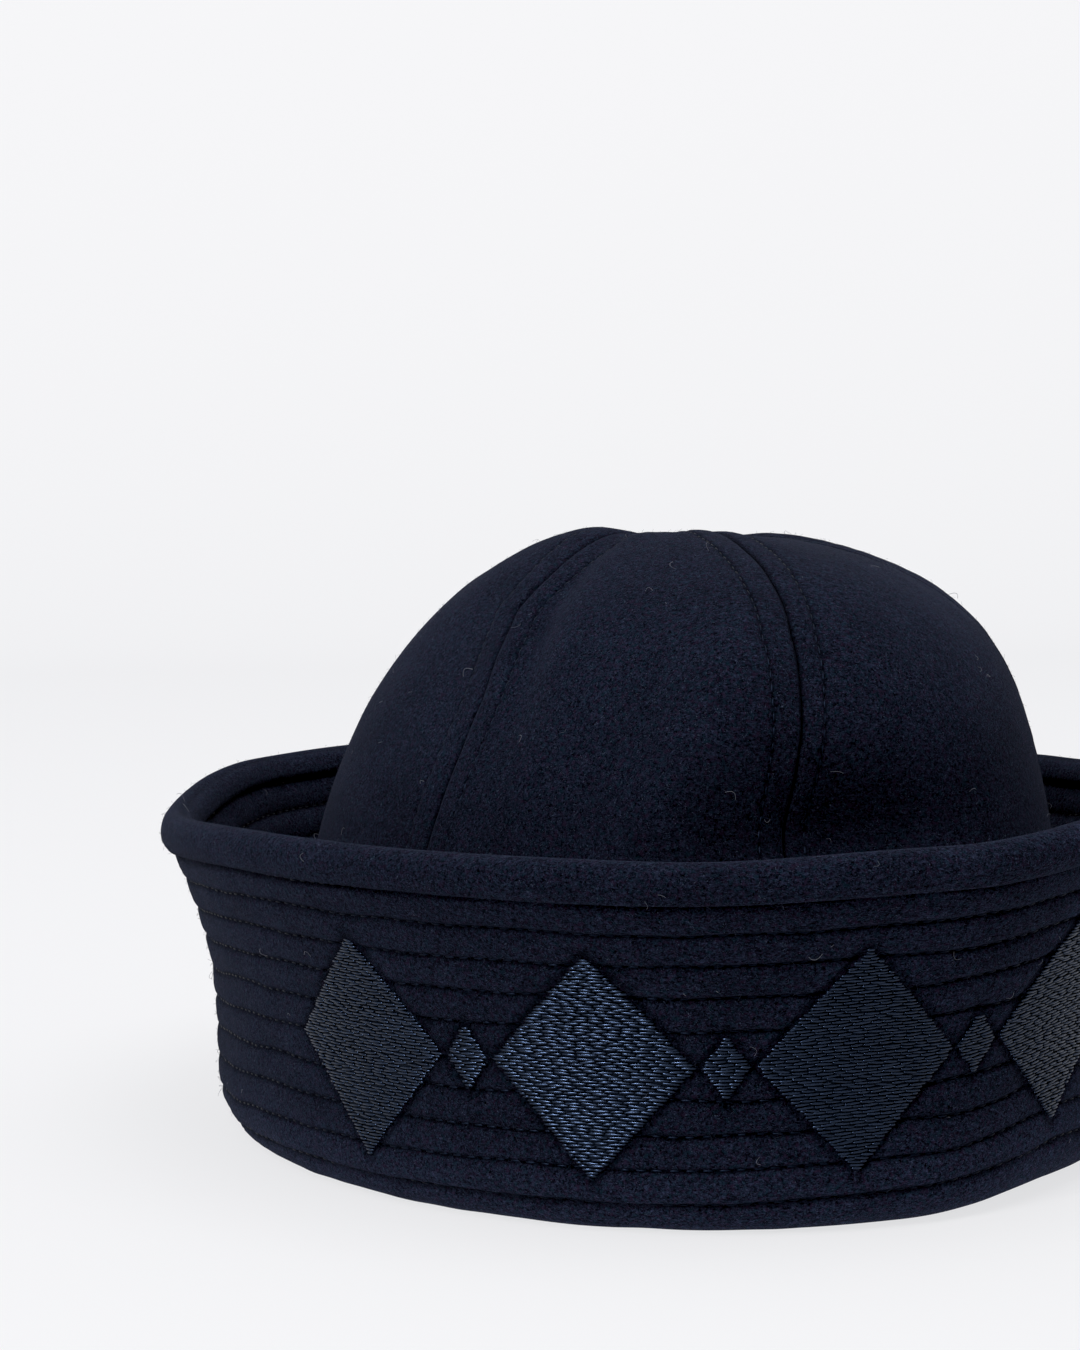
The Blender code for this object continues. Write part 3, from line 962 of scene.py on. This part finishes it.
def seamRelief(middle, place, share, turn, along, halfArc):
    # the welt over the seam and the stitched lines beside it: rise, puckers, seam and painted shade
    fromSeam = (1 - np.abs(place)) * halfArc
    side = np.sign(place)
    line = topstitchAt(middle, side, halfArc)
    nearTop = eased(share / crown["nearTop"])
    welt = crown["welt"] * (1 - np.exp(-(fromSeam / crown["weltRise"]) ** 2))
    welt = welt * (1 - eased((fromSeam - line + crown["weltEnd"]) / crown["weltFall"]))
    stitch = np.exp(-((fromSeam - line) / crown["stitchWidth"]) ** 2)
    seam = np.exp(-(fromSeam / crown["seamWidth"]) ** 2)
    strong = crown["backSeams"] + crown["frontSeams"] * np.exp(-(turn / crown["frontTurn"]) ** 2)
    pull = crown["pucker"] * np.exp(-np.abs(fromSeam - line) / crown["puckerReach"])
    cell = (np.round(np.degrees(middle)) + 3 * side + 40) / puckerCells
    pucker = pull * crownPucker(cell, along / crown["puckerLong"])
    rise = nearTop * (welt - crown["seamDip"] * strong * seam - crown["stitchDip"] * strong * stitch)
    return rise, pucker, seam, strong * np.maximum(seam, crown["stitchShade"] * stitch * nearTop)


def crownPoint(middle, place, row, depth=0.0, rise=0.0):
    # place runs from -1 to 1 between a panel's seams; row counts up the profile
    place, row = np.broadcast_arrays(np.asarray(place, float), np.asarray(row, float))
    rows = np.arange(crown["rows"])
    share, level, out, up, along = [np.interp(row, rows, column) for column in crownColumns]
    direction = middle + place * math.pi / crown["panels"]
    spread = np.hypot(np.cos(direction) / halfWidth, np.sin(direction) / halfLength)
    turn = wrapped(np.degrees(direction) + 90)
    sewn, pucker, seam, shade = seamRelief(middle, place, share, turn, along, halfArcAt(direction, share))
    fade = eased(share / crown["puffFade"])
    u = direction / fullTurn
    slack = fade * (1 - crown["waveCalm"] * seam)  # less of it beside a seam
    wavy = crown["lumps"] * crownNoise(u, along / crown["lumpTall"]) * fade
    wavy = wavy + crown["waves"] * crownWaves(u, along / crown["waveTall"]) * slack
    dent = dentDepth(turn, level)
    lift = fade * (crown["puff"] * (1 - place ** 2) + pucker) + sewn + wavy - dent + rise
    radius = share / spread + (lift - depth) * out
    height = level + (lift - depth) * up
    height = height + topRise(radius * np.cos(direction), radius * np.sin(direction), level)
    half = math.pi / crown["panels"] + crown["seamOverlap"] / np.maximum(radius, crown["thinnest"])
    direction = middle + place * half + seamShift(turn, height) / np.maximum(radius, crown["shiftRadius"])
    sway = crown["lean"] * np.sin(math.pi * np.clip(height / crown["height"], 0, 1) ** 4)
    leanWay = math.radians(crown["leanTurn"] - 90)
    nx, ny = np.cos(direction), np.sin(direction)
    x, y = radius * nx + sway * math.cos(leanWay), radius * ny + sway * math.sin(leanWay)
    # painted shade in the deep hollows, and along the seams and topstitching
    hollow = crown["shade"] * np.clip(dent / mm - crown["shadeStart"], 0, crown["shadeSpan"])
    normals = np.stack([nx * out, ny * out, up], -1)
    return np.stack([x, y, height], -1), normals, np.maximum(hollow, shade)


def panelPlaces(middle, side):
    # places from the seam to the panel's middle, for each row of the profile
    halfArc = halfArcAt(middle + side * math.pi / crown["panels"], crownShare)[:, None]
    near = np.array(nearSeamStops)[None, :] * topstitchAt(middle, side, halfArc) / stopsTopstitch
    far = near[:, -1:] + (halfArc - near[:, -1:]) * np.array(farSeamShares)[None, :]
    return 1 - np.concatenate([near, far], 1) / halfArc


def panelMiddle(number):
    return fullTurn * (number + 0.5) / crown["panels"] - math.pi / 2


def makePanel(number):
    middle = panelMiddle(number)
    left, right = -panelPlaces(middle, -1), panelPlaces(middle, 1)[:, ::-1]
    place = np.concatenate([left, right[:, 1:]], 1)
    row = np.arange(crown["rows"])[:, None] + 0 * place
    outer, _, groove = crownPoint(middle, place, row)
    inner, _, _ = crownPoint(middle, place, row, depth=cap["cloth"])
    tip = [-crown["tipOverlap"] * math.cos(middle), -crown["tipOverlap"] * math.sin(middle)]
    tipHeight = outer[-1, :, 2].mean()
    tips = [tip + [tipHeight], tip + [tipHeight - cap["cloth"]]]
    width, tall = place.shape[1], crown["rows"]
    points = np.concatenate([outer.reshape(-1, 3), inner.reshape(-1, 3), tips])
    layer = width * tall
    faces = []
    for first, flip in ((0, False), (layer, True)):
        last = first + (tall - 1) * width
        fan = [(last + c, last + c + 1, 2 * layer + flip) for c in range(width - 1)]
        faces += gridFaces(tall, width, first, flip) + [face[::-1] if flip else face for face in fan]
    for c in (0, width - 1):
        edge = [r * width + c for r in range(tall)] + [2 * layer]
        under = [low + layer for low in edge[:-1]] + [2 * layer + 1]
        faces += [(edge[r], under[r], under[r + 1], edge[r + 1]) for r in range(tall)]
    faces += [(c, c + 1, layer + c + 1, layer + c) for c in range(width - 1)]
    item = meshObject(f"crownPanel{number + 1}", points, faces, crownWool)
    pointOutwards(item)
    # painted shade on the outside, and at the tip where the panels meet
    addValues(item, "groove", np.concatenate([groove.ravel(), 0 * groove.ravel(), [1.0, 1.0]]))
    addValues(item, "edge", np.zeros(len(points)))
    addValues(item, "shown", np.concatenate([np.ones(layer), np.zeros(layer + 2)]))
    return item


panels = []
for number in range(crown["panels"]):
    panel = makePanel(number)
    joinCap(panel)
    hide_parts(f"crown_panel_{number + 1}")
    panels.append(panel)
print("crown made")

# Sewing threads: the brim's rows, outside and inside, and the crown's topstitching

stitching = {
    "brimOuter": lengths(Pitch=3.1, Length=2.7, Thickness=0.55) | {"Sides": 5, "Rings": 4, "Seed": 31},
    "brimInner": lengths(Pitch=3.1, Length=2.7, Thickness=0.50) | {"Sides": 4, "Rings": 4, "Seed": 32},
    "crown": lengths(Pitch=3.0, Length=2.5, Thickness=0.42) | {"Sides": 5, "Rings": 4, "Seed": 33},
}
sunk = lengths(brim=0.05, crown=0.08)
rowPoints = 900
bareRows = (2.0, 3.0)  # of the crown's profile, without topstitching at the bottom and the top


def sewnPiece(name, lines, kind):
    item = guideObject(name, lines)
    runTree(item, stitchTree, dict(stitching[kind], Material=threads["navy"]))
    joinCap(item)


def brimRowLines(side):
    # whole rounds inside; outside, the stretches between the motifs
    angle = (np.arange(rowPoints) * fullTurn / rowPoints + math.pi / 2) % fullTurn
    lines = []
    for row in range(brim["rows"]):
        distance = brim["firstRow"] + row * brim["rowPitch"] + wanderAt(angle, row)
        lift = quiltRise(angle, distance, side)[0] - sunk["brim"]
        if side < 0:
            places, normals = brimPoint(angle, distance, depth=brim["wall"], rise=-lift)
            lines.append((places, -normals, True))
            continue
        places, normals = brimPoint(angle, distance, rise=lift)
        covered = embroideryInside(angle, distance) > -quilt["clearOfMotif"]
        if not covered.any():
            lines.append((places, normals, True))
            continue
        cuts = np.flatnonzero(np.diff(covered.astype(int))) + 1
        for run in np.split(np.arange(len(angle)), cuts):
            if not covered[run[0]] and len(run) > 3:
                lines.append((places[run], normals[run], False))
    return lines


def topstitchLines():
    lines = []
    rows = np.arange(bareRows[0], crown["rows"] - bareRows[1])
    share = np.interp(rows, np.arange(crown["rows"]), crownShare)
    for number in range(crown["panels"]):
        middle = panelMiddle(number)
        for side in (-1, 1):
            halfArc = halfArcAt(middle + side * math.pi / crown["panels"], share)
            place = side * (1 - topstitchAt(middle, side, halfArc) / halfArc)
            places, normals, _ = crownPoint(middle, place, rows, rise=-sunk["crown"])
            lines.append((places, normals, False))
    return lines


sewnPiece("brimStitchesOuter", brimRowLines(1), "brimOuter")
sewnPiece("brimStitchesInner", brimRowLines(-1), "brimInner")
sewnPiece("crownTopstitches", topstitchLines(), "crown")
print("threads made")

# Embroidery: level rows of stitches over a low raised ground, pressed into the quilting

def clothUnderThread(across, down, raised):
    angle = angleOfArc(arcFront + across)
    return brimPoint(angle, embroidery["middle"] + down, rise=embroidery["level"] + raised)


def fillStitches():
    # each row is cut at a lattice of needle points that moves from row to row
    plan = embroidery
    rng = np.random.default_rng(43)
    middles, spans = [], []
    lattice = np.arange(-20, 21)
    for middle, wide, tall in motifs():
        count = int(2 * tall / plan["rowPitch"])
        for number in range(count):
            down = -tall + (number + 0.5) * 2 * tall / count
            reach = wide * (1 - abs(down) / tall) + rng.normal(0, plan["raggedEdge"])
            if reach < plan["shortest"]:
                continue
            phase = (number * needleShift + rng.normal(0, needleStray)) % 1
            inner = (lattice + phase) * plan["stitchLength"]
            inner = inner + rng.normal(0, plan["unevenLength"], len(lattice))
            inner = np.sort(inner[np.abs(inner) < reach - plan["endStitch"]])
            ends = np.concatenate([[-reach], inner, [reach]])
            lift = plan["threadLift"] + rng.normal(0, plan["unevenLift"])
            for first, second in zip(ends[:-1], ends[1:]):
                slant = rng.normal(0, plan["unevenAim"])
                middles.append((middle + (first + second) / 2, down + slant, lift))
                spans.append(second - first + plan["overlap"])
    return np.array(middles), np.array(spans)


def makeFill():
    middles, spans = fillStitches()
    places, normals = clothUnderThread(*middles.T)
    rng = np.random.default_rng(44)
    slant = rng.normal(0, embroidery["unevenAim"], len(spans))
    tilt = rng.normal(0, embroidery["unevenAim"], len(spans))
    across, down, lift = middles.T
    beside, _ = clothUnderThread(across + 1 * mm, down + slant, lift + tilt)
    item = meshObject("embroideryThreads", places, [])
    addValues(item, "along", beside - places, "FLOAT_VECTOR")
    addValues(item, "facing", normals, "FLOAT_VECTOR")
    addValues(item, "span", spans)
    runTree(item, fillTree, dict(embroideryThread, Material=threads["steel"]))
    joinCap(item)


def makeGround(rows=32, columns=20):
    # a low closed cushion under each motif, its edge sunk in the wool
    plan = embroidery
    v, u = np.linspace(-1, 1, rows)[:, None], np.linspace(-1, 1, columns)[None, :]
    below = rows * columns
    ring = list(range(columns)) + [r * columns + columns - 1 for r in range(1, rows)]
    ring += [(rows - 1) * columns + c for c in range(columns - 2, -1, -1)]
    ring += [r * columns for r in range(rows - 2, 0, -1)]
    points, faces = [], []
    for middle, wide, tall in motifs():
        base = len(points)
        reach = np.maximum(wide * (1 - np.abs(v)), plan["groundTip"]) - plan["groundInset"]
        fromEdge = np.minimum((1 - np.abs(u)) * reach, (1 - np.abs(v)) * tall)
        top = plan["ground"] * eased(fromEdge / plan["groundEdge"]) - plan["groundSunk"]
        for raised in (top, -plan["groundDepth"] + 0 * top):
            places, _ = clothUnderThread(middle + u * reach, v * (tall - plan["groundTrim"]) + 0 * u, raised)
            points.extend(places.reshape(-1, 3))
        faces += gridFaces(rows, columns, base) + gridFaces(rows, columns, base + below, flip=True)
        for low, high in zip(ring, ring[1:] + ring[:1]):
            faces.append((base + high, base + low, base + low + below, base + high + below))
    item = meshObject("embroideryGround", points, faces, threads["underlay"])
    pointOutwards(item)
    addValues(item, "tone", np.full(len(points), 0.5))
    joinCap(item)


makeGround()
makeFill()
print("embroidery made")

# Nap and lint: fibres over the outside of the brim and the crown

fibres = {
    "brimNap": {"Density": 108000.0, "Length": 1.00 * mm, "Thickness": 0.042 * mm, "Curl": 0.0, "Tilt": 0.7,
                "Steps": 1, "Seed": 51},
    "crownNap": {"Density": 90000.0, "Length": 0.92 * mm, "Thickness": 0.038 * mm, "Curl": 0.0, "Tilt": 0.7,
                 "Steps": 1, "Seed": 52},
    "lint": {"Density": 1800.0, "Length": 2.2 * mm, "Thickness": 0.075 * mm, "Curl": 0.8, "Tilt": 0.3,
             "Steps": 8, "Seed": 53},
}


def growFibres(name, sources, thread):
    shape = bmesh.new()
    for source in sources:
        shape.from_mesh(source.data)
    mesh = bpy.data.meshes.new(name)
    shape.to_mesh(mesh)
    shape.free()
    item = addToScene(name, mesh)
    runTree(item, fibreTree, dict(fibres[name], Material=threads[thread]))
    joinCap(item)


growFibres("brimNap", [brimShell], "nap")
growFibres("crownNap", panels, "nap")
growFibres("lint", [brimShell] + panels, "lint")
print("fibres made")

# Studio: a pale sweep, soft key from the upper left, weak fill

studio = {
    "floor": (0.16, 0.16, 0.163, 1.0),
    "floorPaler": (0.1616, 0.1616, 0.16463, 1.0),
    "floorGlow": (0.715, 0.717, 0.731, 1.0),
    "wallGlow": (0.815, 0.815, 0.828, 1.0),
    "glowRamp": (1.4, 0.8),  # from the floor's glow to the wall's, going back
    "floorFront": -3.0,
    "floorBack": 1.6,
    "sweepRadius": 1.2,
    "wallTop": 4.0,
    "halfWide": 5.0,
    "world": (0.97, 0.975, 1.0, 1.0),
    "worldMean": 0.52,
    "worldBack": 0.42,
    "worldUp": 0.40,
    "worldRight": 0.16,
    "blackLevel": (0.0022, 0.0028, 0.0044),
    "aim": (0.0, 0.0, 0.06),
    "lights": [
        {"name": "keyLight", "place": (-1.15, -0.95, 1.15), "size": 0.36, "power": 12.0,
         "colour": (1.0, 0.99, 0.97), "glossOnly": False},
        {"name": "glossLight", "place": (-1.15, -0.95, 1.05), "size": 0.36, "power": 56.0,
         "colour": (0.95, 0.98, 1.0), "glossOnly": True},
        {"name": "topLight", "place": (0.25, -0.35, 1.75), "size": 1.3, "power": 12.0,
         "colour": (1.0, 1.0, 1.0), "glossOnly": False},
    ],
}


def makeSweep(setup):
    # a pale floor that runs up into the backdrop, lit from within like a light table
    material, tree, shader, place = newMaterial("paleFloor")
    away = addNode(tree, "ShaderNodeSeparateXYZ", Vector=place).outputs["Y"]
    glow = ramp(tree, away, *setup["glowRamp"])
    feedAll(tree, shader, {
        "Base Color": mixColours(tree, noiseAt(tree, place, 3.0, 1.0), setup["floor"], setup["floorPaler"]),
        "Roughness": 0.95,
        "Specular IOR Level": 0.0,
        "Emission Color": mixColours(tree, glow, setup["floorGlow"], setup["wallGlow"]),
        "Emission Strength": 1.0,
    })
    back, radius = setup["floorBack"], setup["sweepRadius"]
    profile = [(setup["floorFront"], 0.0), (back, 0.0)]
    profile += [(back + radius * math.sin(bend), radius - radius * math.cos(bend))
                for bend in np.linspace(0.1, math.pi / 2, 14)]
    profile += [(back + radius, setup["wallTop"])]
    points = [(side * setup["halfWide"], y, z) for y, z in profile for side in (-1, 1)]
    sweep = meshObject("studioSweep", points, gridFaces(len(profile), 2), material)
    sweep.data.shade_smooth()


def makeWorld(setup):
    world = bpy.data.worlds.new("studioWorld")
    bpy.context.scene.world = world
    world.use_nodes = True
    tree = world.node_tree
    way = addNode(tree, "ShaderNodeTexCoord").outputs["Generated"]
    parts = addNode(tree, "ShaderNodeSeparateXYZ", Vector=way).outputs
    glow = setup["worldMean"]
    for part, name in (("Y", "worldBack"), ("Z", "worldUp"), ("X", "worldRight")):
        glow = plus(tree, times(tree, parts[part], setup[name]), glow)
    feedAll(tree, tree.nodes["Background"], {"Color": setup["world"], "Strength": glow})


def addLight(light, aim):
    data = bpy.data.lights.new(light["name"], "AREA")
    data.energy = light["power"]
    data.size = light["size"]
    data.color = light["colour"]
    item = addToScene(light["name"], data)
    item.location = light["place"]
    item.visible_diffuse = not light["glossOnly"]
    x, y, z = np.array(aim) - np.array(light["place"])
    item.rotation_euler = (math.pi / 2 + math.atan2(z, math.hypot(x, y)), 0.0, math.atan2(y, x) - math.pi / 2)


makeSweep(studio)
makeWorld(studio)
for light in studio["lights"]:
    addLight(light, studio["aim"])
view = bpy.context.scene.view_settings
view.view_transform = "Standard"
view.use_curve_mapping = True
view.curve_mapping.black_level = studio["blackLevel"]
view.curve_mapping.update()
print("studio ready")
